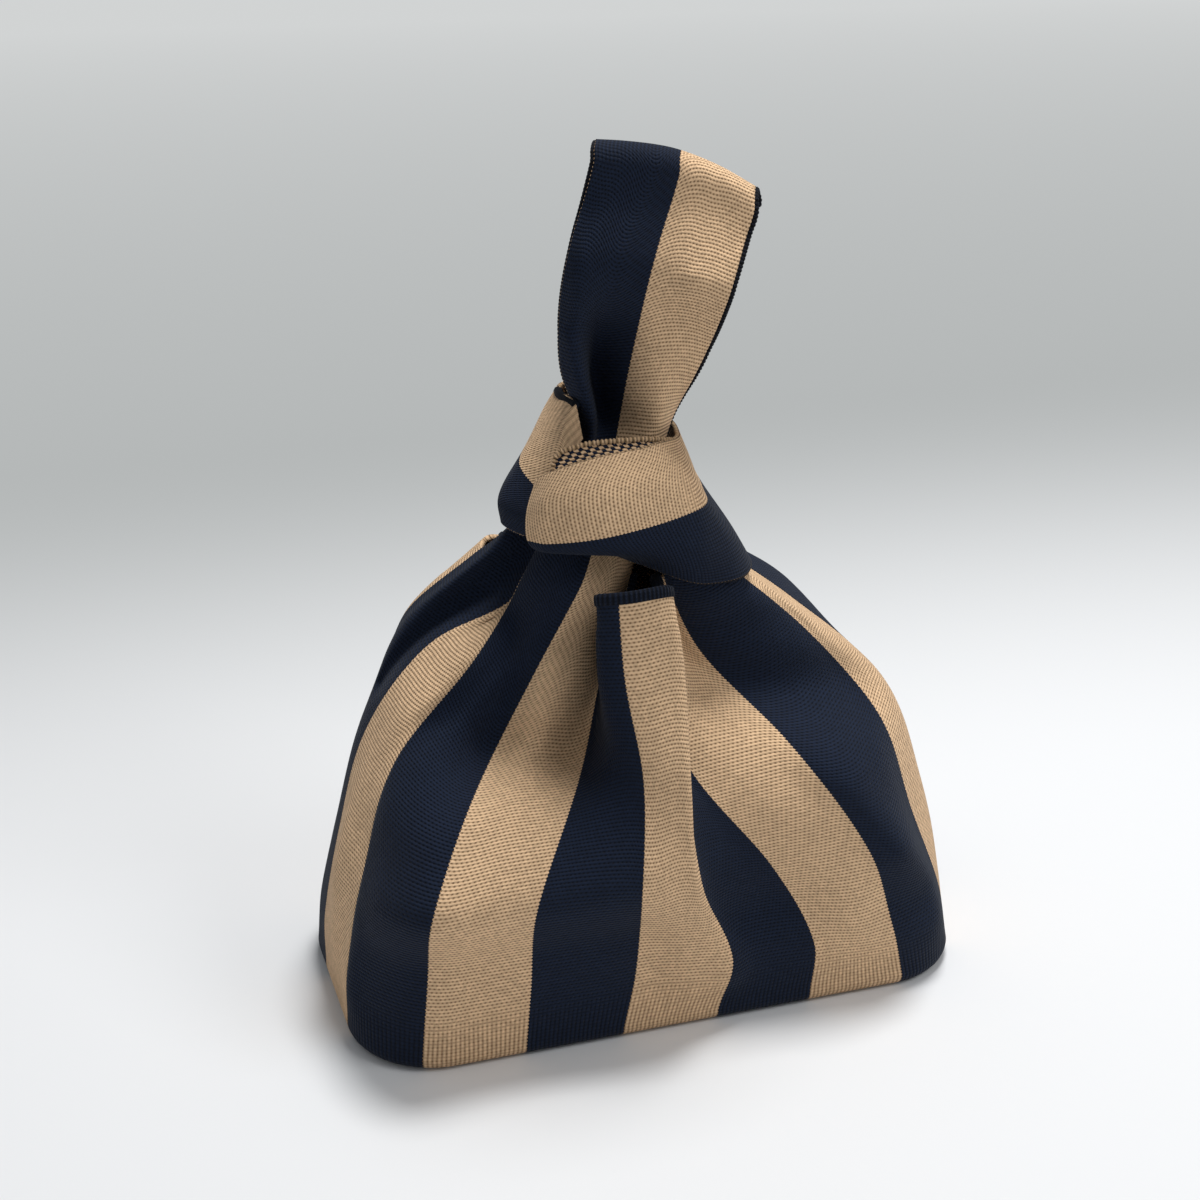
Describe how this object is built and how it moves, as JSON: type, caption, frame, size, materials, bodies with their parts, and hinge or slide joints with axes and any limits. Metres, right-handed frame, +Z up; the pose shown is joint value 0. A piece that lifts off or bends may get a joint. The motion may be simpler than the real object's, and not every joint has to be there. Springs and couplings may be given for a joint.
{
  "type": "knitted knot bag",
  "caption": "Small knitted knot bag with vertical two-colour stripes and a flat base, tied shut with its long strap loop pulled up through its short strap loop.",
  "frame": {"origin": "on the ground, at the centre of the base", "axes": "+Z up, +X to the right across the front, and the front with the open pleat faces -Y"},
  "size_m": [0.1755, 0.0969, 0.227],
  "materials": {
    "navy_knit": "matte double knit",
    "tan_knit": "matte double knit"
  },
  "bodies": {
    "bag": {"base_panel": "navy_knit", "body_stripe_01_navy": "navy_knit", "body_stripe_02_tan": "tan_knit", "body_stripe_03_navy": "navy_knit", "body_stripe_04_tan": "tan_knit", "body_stripe_05_navy": "navy_knit", "body_stripe_06_tan": "tan_knit", "body_stripe_07_navy": "navy_knit", "body_stripe_08_tan": "tan_knit", "body_stripe_09_navy": "navy_knit", "body_stripe_10_tan": "tan_knit", "body_stripe_11_navy": "navy_knit", "body_stripe_12_tan": "tan_knit", "body_stripe_13_navy": "navy_knit", "body_stripe_14_tan": "tan_knit", "body_stripe_15_navy": "navy_knit", "body_stripe_16_tan": "tan_knit", "front_neck_hem": "navy_knit", "back_neck_hem": "navy_knit", "left_side_seam": "navy_knit", "right_side_seam": "navy_knit", "short_handle_front_leg_navy": "navy_knit", "short_handle_front_leg_tan": "tan_knit", "short_handle_back_leg_navy": "navy_knit", "short_handle_back_leg_tan": "tan_knit", "short_handle_wrap_selvage": "tan_knit", "short_handle_wrap_tan": "tan_knit", "short_handle_wrap_navy": "navy_knit"},
    "handle_neck": {"long_handle_front_leg_navy": "navy_knit", "long_handle_front_leg_tan": "tan_knit", "long_handle_back_leg_tan": "tan_knit", "long_handle_back_leg_navy": "navy_knit"},
    "handle_loop": {"long_handle_front_navy": "navy_knit", "long_handle_front_tan": "tan_knit", "long_handle_back_tan": "tan_knit", "long_handle_back_navy": "navy_knit", "long_handle_joining_seam": "navy_knit", "long_handle_left_selvage": "navy_knit", "long_handle_right_selvage": "navy_knit"}
  },
  "joints": [
    {"name": "handle_pull", "type": "slide", "parent": "bag", "child": "handle_neck", "axis": [0, 0, 1], "range_m": [0, 0.012], "deforming": ["long_handle_front_leg_navy", "long_handle_front_leg_tan", "long_handle_back_leg_tan", "long_handle_back_leg_navy"]},
    {"name": "handle_tilt", "type": "hinge", "parent": "handle_neck", "child": "handle_loop", "pos_m": [-0.003, 0.003, 0.157], "axis": [0.9762, -0.217, 0], "range_deg": [-12, 30], "deforming": ["long_handle_front_leg_navy", "long_handle_front_leg_tan", "long_handle_back_leg_tan", "long_handle_back_leg_navy"]}
  ]
}
